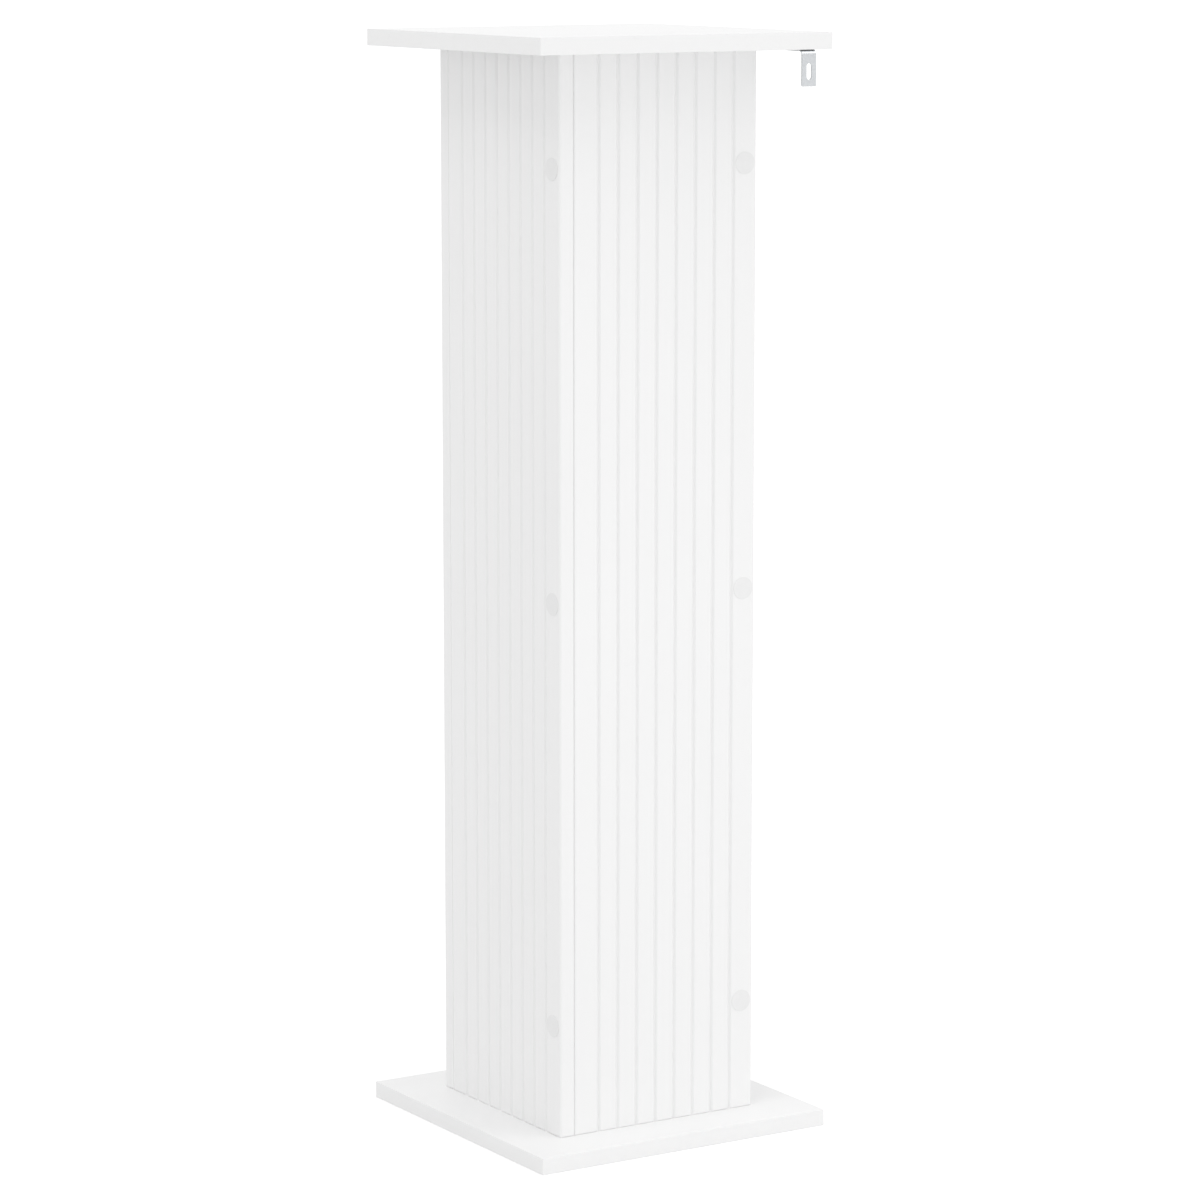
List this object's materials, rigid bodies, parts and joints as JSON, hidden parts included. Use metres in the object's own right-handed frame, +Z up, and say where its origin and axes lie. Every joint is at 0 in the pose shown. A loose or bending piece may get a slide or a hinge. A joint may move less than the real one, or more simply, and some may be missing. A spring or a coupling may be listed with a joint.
{
  "type": "pedestal column stand",
  "caption": "Tall square pedestal stand: a hollow column of four grooved white panels between two square boards, with capped joint screws and a slotted wall angle under the top.",
  "frame": {"origin": "middle of the base board's underside, on the floor", "axes": "+Z up; +Y towards the wall that the stand is tied to; +X to the left of a person who stands at the wall and looks at the stand"},
  "size_m": [0.3, 0.3, 0.99],
  "materials": {
    "white_board": "white melamine-faced particle board, fine satin grain",
    "white_edging": "white plastic edge band, 0.8 mm, scraped flush with eased edges",
    "white_panel": "white lacquered fibreboard with V grooves, satin",
    "screw_cap": "off-white self-adhesive film disc, satin",
    "zinc_screw": "bright zinc-plated steel",
    "zinc_angle": "zinc-plated sheet steel, faint spangle",
    "cam_metal": "zinc die casting, dull grey",
    "beech": "plain beech dowel, compressed grain"
  },
  "bodies": {
    "root": {"top_board": "white_board", "top_band_back": "white_edging", "top_band_right": "white_edging", "top_band_front": "white_edging", "top_band_left": "white_edging", "back_panel": "white_panel", "right_panel": "white_panel", "front_panel": "white_panel", "left_panel": "white_panel", "base_board": "white_board", "base_band_back": "white_edging", "base_band_right": "white_edging", "base_band_front": "white_edging", "base_band_left": "white_edging", "back_panel_screws": "zinc_screw", "right_panel_screws": "zinc_screw", "front_panel_screws": "zinc_screw", "left_panel_screws": "zinc_screw", "back_panel_caps": "screw_cap", "right_panel_caps": "screw_cap", "front_panel_caps": "screw_cap", "left_panel_caps": "screw_cap", "cam_bolts": "zinc_screw", "cam_locks": "cam_metal", "top_dowels": "beech", "base_screws": "zinc_screw", "wall_bracket": "zinc_angle", "bracket_screw": "zinc_screw"}
  },
  "joints": []
}
